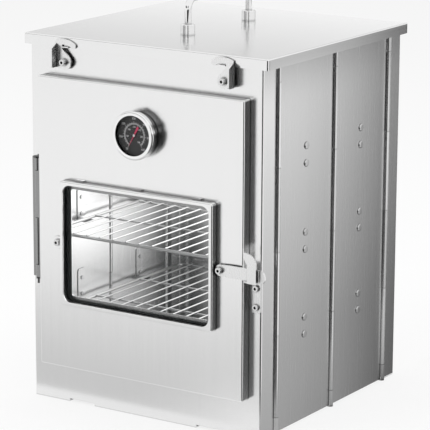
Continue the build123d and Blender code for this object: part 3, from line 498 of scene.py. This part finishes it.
# ---------------------------------------------------------------- thermometer
CAPITAL_SHARE = 0.7  # height of a figure in the font, as a share of its size
MERGE = 0.000001  # distance under which points of a spun shape are one
NUMBERS = 7
OUTER_FIRST, OUTER_STEP, OUTER_SHARE = 50, 100, 0.9  # share of the height of a number
INNER_FIRST, INNER_STEP, INNER_SHARE = 0, 50, 0.72
MARK_STEPS, LONG_EVERY, INNER_EVERY = 24, 4, 2
LONG_MARK, SHORT_MARK, INNER_MARK = 0.0018, 0.0009, 0.0007
MARK_WIDTH, INNER_MARK_WIDTH = 0.00028, 0.00022
BAND_STEPS, CAP_STEPS, CAP_SIDES = 96, 8, 32


def on_dial(angle, radius, depth):
    """A place on the dial, at an angle from the right hand and a radius, at this depth (y)."""
    low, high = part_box("thermometer_dial")
    middle = (low + high) / 2
    return Vector(
        (middle.x + radius * math.cos(angle), depth, middle.z + radius * math.sin(angle))
    )


def facing_front(place):
    """Turns a flat drawing from the XY plane to face the front of the oven at this place."""
    return Matrix.Translation(place) @ Matrix.Rotation(math.radians(90), 4, "X")


def add_number(mesh, text, height, thickness, place):
    """Adds a printed number, centred on its place, to a bmesh."""
    curve = bpy.data.curves.new("number", "FONT")
    curve.body = text
    curve.size = height / CAPITAL_SHARE
    curve.align_x = "CENTER"
    curve.align_y = "CENTER"
    curve.extrude = thickness / 2
    carrier = bpy.data.objects.new("number", curve)
    bpy.context.scene.collection.objects.link(carrier)
    bpy.context.view_layer.update()
    outline = bpy.data.meshes.new_from_object(carrier)
    outline.transform(facing_front(place))
    mesh.from_mesh(outline)
    bpy.data.objects.remove(carrier)
    bpy.data.curves.remove(curve)
    bpy.data.meshes.remove(outline)


def add_mark(mesh, angle, start, end, width, thickness, depth):
    """Adds one printed line that points at the middle of the dial."""
    made = bmesh.ops.create_cube(mesh, size=1.0)["verts"]
    size = Matrix.Diagonal((end - start, width, thickness, 1))
    shift = Matrix.Translation(((start + end) / 2, 0, 0))
    turn = Matrix.Rotation(angle, 4, "Z")
    centre = on_dial(0, 0, depth)
    bmesh.ops.transform(mesh, matrix=facing_front(centre) @ turn @ shift @ size, verts=made)


class CAMPOVEN_OT_thermometer(bpy.types.Operator):
    """Dial, print, needle and its cap, case and lens of the door's thermometer"""

    bl_idname = "campoven.thermometer"
    bl_label = "Thermometer"

    def execute(self, context):
        dial = context.scene.camp_oven_dial
        metal = context.scene.camp_oven_metal
        ground = speckled(
            "dial_ground", dial.face_colour, roughness=0.45, change=0.05, grains=3000.0
        )
        dress(ground, "thermometer_dial")
        case = brushed(
            "case_steel", metal.case_colour, roughness=0.16, lines=(200.0, 2500.0, 200.0),
            variation=0.04, relief=0.02, shade_reach=0.004, depth=0.9,
        )
        dress(case, "thermometer_case")
        lens = clear("lens_glass", (0.02, 0.02, 0.02), cover=0.06, refraction=1.5)
        dress(lens, "thermometer_lens")
        paint = speckled("needle_paint", dial.needle_colour, roughness=0.35, change=0.05)
        dress(paint, "thermometer_needle")
        ink = speckled("white_print", dial.print_colour, roughness=0.5, change=0.05)
        band_ink = speckled("grey_print", dial.band_colour, roughness=0.5, change=0.05)
        self.draw_band(dial, band_ink)
        self.draw_marks(dial, ink)
        self.draw_numbers(dial, ink)
        self.cap_needle(dial, ink)
        return {"FINISHED"}

    def print_depth(self, dial):
        """The plane of the print, just in front of the dial."""
        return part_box("thermometer_dial")[0].y - dial.print_thickness

    def draw_band(self, dial, ink):
        """The open ring, spun from one small section."""
        band = bmesh.new()
        depth = self.print_depth(dial)
        centre = on_dial(0, 0, depth)
        half = dial.band_width / 2
        corners = [
            band.verts.new(on_dial(dial.scale_start, radius, depth + away))
            for radius, away in (
                (dial.band_radius - half, 0), (dial.band_radius + half, 0),
                (dial.band_radius + half, dial.print_thickness),
                (dial.band_radius - half, dial.print_thickness),
            )
        ]
        section = band.faces.new(corners)
        bmesh.ops.spin(
            band, geom=[section, *section.edges, *corners], cent=centre, axis=(0, 1, 0),
            angle=dial.scale_sweep, steps=BAND_STEPS,
        )
        bmesh.ops.remove_doubles(band, verts=band.verts, dist=MERGE)
        bmesh.ops.recalc_face_normals(band, faces=band.faces)
        piece("dial_band", band, ink, "door")

    def draw_marks(self, dial, ink):
        """Long marks outside the band and short ones inside it."""
        marks = bmesh.new()
        depth = self.print_depth(dial)
        outside = dial.band_radius + dial.band_width / 2
        inside = dial.band_radius - dial.band_width / 2
        for step in range(MARK_STEPS + 1):
            angle = dial.scale_start - dial.scale_sweep * step / MARK_STEPS
            length = SHORT_MARK if step % LONG_EVERY else LONG_MARK
            add_mark(
                marks, angle, outside, outside + length, MARK_WIDTH, dial.print_thickness, depth
            )
            if step % INNER_EVERY == 0:
                add_mark(
                    marks, angle, inside - INNER_MARK, inside, INNER_MARK_WIDTH,
                    dial.print_thickness, depth,
                )
        piece("dial_marks", marks, ink, "door")

    def draw_numbers(self, dial, ink):
        """Two rows of plain numbers."""
        numbers = bmesh.new()
        depth = self.print_depth(dial)
        rows = (
            (dial.outer_numbers, OUTER_FIRST, OUTER_STEP, OUTER_SHARE),
            (dial.inner_numbers, INNER_FIRST, INNER_STEP, INNER_SHARE),
        )
        for turn in range(NUMBERS):
            angle = dial.scale_start - dial.scale_sweep * turn / (NUMBERS - 1)
            for radius, first, step, share in rows:
                add_number(
                    numbers, str(first + step * turn), dial.number_height * share,
                    dial.print_thickness, on_dial(angle, radius, depth),
                )
        piece("dial_numbers", numbers, ink, "door")

    def cap_needle(self, dial, ink):
        """A low domed cap over the needle's spindle."""
        cap = bmesh.new()
        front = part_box("thermometer_needle")[0].y
        centre = on_dial(0, 0, front)
        rise = [centre]
        for step in range(CAP_STEPS + 1):
            turn = math.pi / 2 * step / CAP_STEPS
            rise.append(
                on_dial(
                    0, dial.hub_radius * math.cos(turn), front - dial.hub_height * math.sin(turn)
                )
            )
        points = [cap.verts.new(place) for place in rise]
        edges = [cap.edges.new(pair) for pair in zip(points, points[1:])]
        bmesh.ops.spin(
            cap, geom=points + edges, cent=centre, axis=(0, 1, 0), angle=math.tau,
            steps=CAP_SIDES, use_merge=True,
        )
        bmesh.ops.remove_doubles(cap, verts=cap.verts, dist=MERGE)
        bmesh.ops.recalc_face_normals(cap, faces=cap.faces)
        for face in cap.faces:
            face.smooth = True
        piece("needle_cap", cap, ink, "thermometer_needle")


# ---------------------------------------------------------------- stage
RIGHT_SIDE = 0.145  # plane of the oven's right side panels


def seen(owner):
    """1 where the camera sees a surface, straight or by reflection or glass, and 0 for light."""
    path = node(owner, "ShaderNodeLightPath")
    either = path.outputs["Is Camera Ray"]
    for other in ("Is Glossy Ray", "Is Transmission Ray"):
        either = combined(owner, "MAXIMUM", either, path.outputs[other])
    return either


def between(start, end, share):
    """The value at this share of the way from start to end."""
    return start + (end - start) * share


def soft_edge(place, margin):
    """Rises from 0 at both ends of the span from 0 to 1, over this margin."""
    return max(0.0, min(1.0, place / margin, (1 - place) / margin))


def ramp(value, *stops):
    """Straight lines between stops of a place and a level, and even beyond the outer stops."""
    for (start, low), (end, high) in zip(stops, stops[1:]):
        if value <= end:
            return between(low, high, max(0.0, value - start) / (end - start))
    return stops[-1][1]


def glowing_card(name):
    """Shows its shade attribute in reflections, and is clear otherwise."""
    material = bpy.data.materials.new(name)
    material.use_nodes = True
    material.node_tree.nodes.clear()
    value = node(material, "ShaderNodeAttribute", attribute_name="shade")
    path = node(material, "ShaderNodeLightPath")
    amount = combined(
        material, "MULTIPLY", path.outputs["Is Glossy Ray"], value.outputs["Alpha"]
    )
    clear_part = node(material, "ShaderNodeBsdfTransparent")
    glow = node(material, "ShaderNodeEmission")
    link(material, value.outputs["Color"], glow.inputs["Color"])
    shown = blended(material, amount, clear_part.outputs["BSDF"], glow.outputs["Emission"])
    output = node(material, "ShaderNodeOutputMaterial")
    link(material, shown, output.inputs["Surface"])
    material.cycles.emission_sampling = "NONE"
    return material


def reflected_card(name, columns, rows, place, shade):
    """A soft-edged grey card that shows in reflections alone and throws no shadow.

    place gives a point from two fractions, and shade the grey and the cover at a point.
    """
    card = bmesh.new()
    bmesh.ops.create_grid(card, x_segments=columns, y_segments=rows, size=0.5)
    layer = card.verts.layers.float_color.new("shade")
    for vert in card.verts:
        across, up = vert.co.x + 0.5, vert.co.y + 0.5
        vert.co = place(across, up)
        grey, cover = shade(across, up, vert.co)
        vert[layer] = (grey, grey, grey, cover)
    mesh = bpy.data.meshes.new(name)
    card.to_mesh(mesh)
    card.free()
    mesh.materials.append(glowing_card(name))
    made = bpy.data.objects.new(name, mesh)
    bpy.context.scene.collection.objects.link(made)


def soft_lamp(name, place, target, size, power):
    """A square area lamp at a place, pointed at a target."""
    lamp = bpy.data.lights.new(name, "AREA")
    lamp.shape = "SQUARE"
    lamp.size = size
    lamp.energy = power
    made = bpy.data.objects.new(name, lamp)
    bpy.context.scene.collection.objects.link(made)
    made.location = place
    made.rotation_euler = (Vector(target) - Vector(place)).to_track_quat("-Z", "Y").to_euler()
    made.visible_camera = False
    return made


class CAMPOVEN_OT_stage(bpy.types.Operator):
    """Camera, pale floor, white surroundings, soft lamps and reflected cards"""

    bl_idname = "campoven.stage"
    bl_label = "Stage"

    def execute(self, context):
        stage = context.scene.camp_oven_stage
        self.camera(context, stage)
        self.floor(stage)
        self.surroundings(context, stage)
        self.lamps()
        self.cards()
        context.scene.view_settings.view_transform = "Standard"
        return {"FINISHED"}

    def camera(self, context, stage):
        """The photograph's view."""
        turn, rise, roll = stage.camera_turn, stage.camera_rise, stage.camera_roll
        back = Vector(
            (math.sin(turn) * math.cos(rise), -math.cos(turn) * math.cos(rise), math.sin(rise))
        )
        level = Vector((math.cos(turn), math.sin(turn), 0))
        upright = back.cross(level)
        right = math.cos(roll) * level + math.sin(roll) * upright
        up = math.cos(roll) * upright - math.sin(roll) * level
        data = bpy.data.cameras.new("camera")
        data.lens = stage.lens
        data.sensor_width = 36.0
        data.clip_start = 0.05
        data.clip_end = 50.0
        made = bpy.data.objects.new("camera", data)
        context.scene.collection.objects.link(made)
        turned = Matrix((right, up, back)).transposed().to_4x4()
        made.matrix_world = Matrix.Translation(stage.camera_place) @ turned
        context.scene.camera = made

    def floor(self, stage):
        """A plain pale floor that keeps a light shadow."""
        below, white_share = -0.0002, 0.8
        ground = bmesh.new()
        bmesh.ops.create_grid(ground, x_segments=1, y_segments=1, size=stage.floor_half)
        bmesh.ops.translate(ground, verts=ground.verts, vec=(0, 0, below))
        mesh = bpy.data.meshes.new("floor")
        ground.to_mesh(mesh)
        ground.free()
        made = bpy.data.objects.new("floor", mesh)
        bpy.context.scene.collection.objects.link(made)
        material, shader = finish("pale_floor", stage.floor_colour, metallic=0.0, roughness=0.8)
        white = node(material, "ShaderNodeEmission")
        share = node(material, "ShaderNodeMath", operation="MULTIPLY")
        share.inputs[1].default_value = white_share
        link(material, seen(material), share.inputs[0])
        shown = blended(
            material, share.outputs["Value"], shader.outputs["BSDF"], white.outputs["Emission"]
        )
        link(material, shown, material.node_tree.nodes["Material Output"].inputs["Surface"])
        material.cycles.emission_sampling = "NONE"
        mesh.materials.append(material)

    def surroundings(self, context, stage):
        """White to the camera and in reflections, a plain even light otherwise."""
        world = bpy.data.worlds.new("surroundings")
        world.use_nodes = True
        context.scene.world = world
        background = world.node_tree.nodes["Background"]
        background.inputs["Color"].default_value = (1, 1, 1, 1)
        strength = mapped(world, seen(world), (0, 1), (stage.room_light, 1.0))
        link(world, strength, background.inputs["Strength"])

    def lamps(self):
        """A key lamp, a wide top lamp and a small one inside the oven."""
        middle = (0, 0, 0.2)
        key = soft_lamp("key_lamp", place=(-1.3, -1.8, 1.9), target=middle, size=1.6, power=26.0)
        top = soft_lamp("top_lamp", place=(0.2, 0.3, 2.4), target=middle, size=2.2, power=34.0)
        for lamp in (key, top):
            lamp.visible_glossy = False
        soft_lamp("inside_lamp", place=(0, 0.02, 0.385), target=(0, 0, 0), size=0.2, power=0.2)

    def cards(self):
        """Grey and black cards that give the bright metal its contrast."""
        self.dark_fan()
        self.side_cards()
        self.lid_card()
        self.front_card()
        self.inside_card()

    def dark_fan(self):
        """Black on the floor before the oven's right corner, and dark curved walls round it."""
        near, far, height = 0.19, 2.8, 0.0006
        left, right = -93, -22  # azimuths in degrees, anticlockwise from +X
        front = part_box("front_frame")[0].y
        black = 0.008

        def around(turn, radius, level):
            turn = math.radians(turn)
            return Vector((radius * math.cos(turn), radius * math.sin(turn), level))

        def wall(name, start, end, low, high, grey, edge, fade=0.2):
            """A curved dark card between two azimuths and two heights, soft at its edges."""
            reflected_card(
                name, 20, 8,
                lambda across, up: around(
                    between(start, end, across), far, between(low, high, up)
                ),
                lambda across, up, point: (grey, soft_edge(across, edge) * soft_edge(up, fade)),
            )

        def floor_shade(across, up, point):
            """Clear of what the flat front reflects, which lies to its left.

            The clear part's edge leans away from the oven, and softens with the distance.
            """
            lean, gap, softness = 0.65, 0.02, 0.30
            away = max(0.0, front - point.y)
            beyond = point.x - RIGHT_SIDE + lean * away
            cover = max(0.0, min(1.0, (beyond - gap) / (gap + softness * away)))
            grey = ramp(point.length, (0.0, 0.09), (1.30, 0.07), (1.55, black))
            return grey, cover * soft_edge(across, 0.10) * min(1.0, up / 0.05)

        reflected_card(
            "dark_floor_fan", 40, 52,
            lambda across, up: around(
                between(left, right, across), between(near, far, up), height
            ),
            floor_shade,
        )
        wall("dark_wall_right", left, right, -0.4, 0.5, black, edge=0.10)
        wall("dark_wall_front", -72, -44, 0.7, 1.7, 0.03, edge=0.2)
        wall("dark_wall_left", -152, -92, 0.75, 1.55, 0.03, edge=0.12)
        wall("dark_wall_behind_left", 135, 166, 0.6, 1.6, 0.08, edge=0.35)
        wall("dark_wall_behind_right", 84, 112, 0.6, 1.6, 0.08, edge=0.35)

    def side_cards(self):
        """Grey beside the right side panels, darker towards the rear, the ground and the lid."""
        away = 0.30  # where the upright card stands
        lean, fall = 1.72, 0.275  # how far a line of sight runs back and down for each metre out
        height, lift, gap, rear = 0.40, 0.0007, 0.001, 0.75
        # the grey by place along the side, then the share of it by height and under the lid
        along = (
            (-0.10, 0.78), (-0.02, 0.64), (0.0, 0.64), (0.05, 0.48), (0.115, 0.29), (0.16, 0.18),
            (0.60, 0.12),
        )
        upwards = ((0.0, 0.55), (0.39, 1.30))
        under_lid = ((0.372, 1.0), (0.388, 0.5))

        def grey(point):
            """The grey that the side shows where a line of sight comes from this point."""
            out = point.x - RIGHT_SIDE
            level = point.z + fall * out
            return (
                ramp(point.y - lean * out, *along) * ramp(level, *upwards)
                * ramp(level, *under_lid)
            )

        reflected_card(
            "side_floor_card", 8, 36,
            lambda across, up: Vector(
                (between(RIGHT_SIDE, away, across) + gap, between(-0.20, rear, up), lift)
            ),
            lambda across, up, point: (grey(point), 1.0),
        )
        reflected_card(
            "side_wall_card", 36, 8,
            lambda across, up: Vector((away, between(-0.02, rear, across), lift + height * up)),
            lambda across, up, point: (
                grey(point), min(1.0, (1 - up) / 0.10) * min(1.0, across / 0.04)
            ),
        )

    def lid_card(self):
        """Grey behind the lid, for the part of it nearest the camera."""
        behind, grey, cover = 0.25, 0.50, 0.55
        reflected_card(
            "lid_card", 14, 10,
            lambda across, up: Vector(
                (between(-0.90, 0.25, across), behind, between(0.42, 0.66, up))
            ),
            lambda across, up, point: (
                grey, cover * soft_edge(across, 0.15) * min(1.0, up / 0.3, (1 - up) / 0.2)
            ),
        )

    def front_card(self):
        """Light grey on the floor before the door, for the foot of the front."""
        lift, grey, cover = 0.0005, 0.60, 0.85
        reflected_card(
            "front_floor_card", 12, 8,
            lambda across, up: Vector(
                (between(-0.60, 0.12, across), between(-0.75, -0.17, up), lift)
            ),
            lambda across, up, point: (grey, cover * soft_edge(across, 0.2) * min(1.0, up / 0.8)),
        )

    def inside_card(self):
        """Light inside the oven that falls off towards the rear left corner and the floor."""
        half, rear, low, high = 0.1425, 0.125, 0.003, 0.388
        # light at the floor, by place across, the share of it by height, and what height adds
        floor_level = 0.02
        across_rear = ((0.0, 0.0), (0.04, 0.02), (0.45, 2.6), (1.0, 3.0))
        share_upwards = ((0.0, 0.35), (0.17, 1.0), (0.40, 1.15))
        added_upwards = ((0.0, 0.0), (0.12, 0.0), (0.25, 0.7), (0.40, 0.8))
        reflected_card(
            "inside_card", 16, 12,
            lambda across, up: Vector(
                (between(-half, half, across), rear, between(low, high, up))
            ),
            lambda across, up, point: (
                floor_level + ramp(across, *across_rear) * ramp(point.z, *share_upwards)
                + ramp(point.z, *added_upwards),
                1.0,
            ),
        )


# ---------------------------------------------------------------- panel and running
PIECES = (
    CAMPOVEN_OT_stage, CAMPOVEN_OT_sheet_body, CAMPOVEN_OT_hardware, CAMPOVEN_OT_window,
    CAMPOVEN_OT_racks, CAMPOVEN_OT_thermometer,
)


class CAMPOVEN_PT_pieces(bpy.types.Panel):
    """Lists the oven's pieces and their settings"""

    bl_idname = "CAMPOVEN_PT_pieces"
    bl_label = "Folding camp oven"
    bl_space_type = "VIEW_3D"
    bl_region_type = "UI"
    bl_category = "Camp Oven"

    def draw(self, context):
        for operator in PIECES:
            self.layout.operator(operator.bl_idname)
        for group in ("camp_oven_metal", "camp_oven_dial", "camp_oven_stage"):
            settings = getattr(context.scene, group)
            box = self.layout.box()
            for key in settings.__annotations__:
                box.prop(settings, key)


CLASSES = (CampOvenMetal, CampOvenDial, CampOvenStage, *PIECES, CAMPOVEN_PT_pieces)


def register():
    """Registers the classes and their settings on the scene."""
    for each in CLASSES:
        bpy.utils.register_class(each)
    bpy.types.Scene.camp_oven_metal = bpy.props.PointerProperty(type=CampOvenMetal)
    bpy.types.Scene.camp_oven_dial = bpy.props.PointerProperty(type=CampOvenDial)
    bpy.types.Scene.camp_oven_stage = bpy.props.PointerProperty(type=CampOvenStage)


def unregister():
    """Takes the settings and classes away again."""
    del bpy.types.Scene.camp_oven_stage
    del bpy.types.Scene.camp_oven_dial
    del bpy.types.Scene.camp_oven_metal
    for each in reversed(CLASSES):
        bpy.utils.unregister_class(each)


def main():
    """Makes every piece in order."""
    register()
    for operator in PIECES:
        group, name = operator.bl_idname.split(".")
        getattr(getattr(bpy.ops, group), name)()
    bpy.context.view_layer.update()


if __name__ == "__main__":
    main()
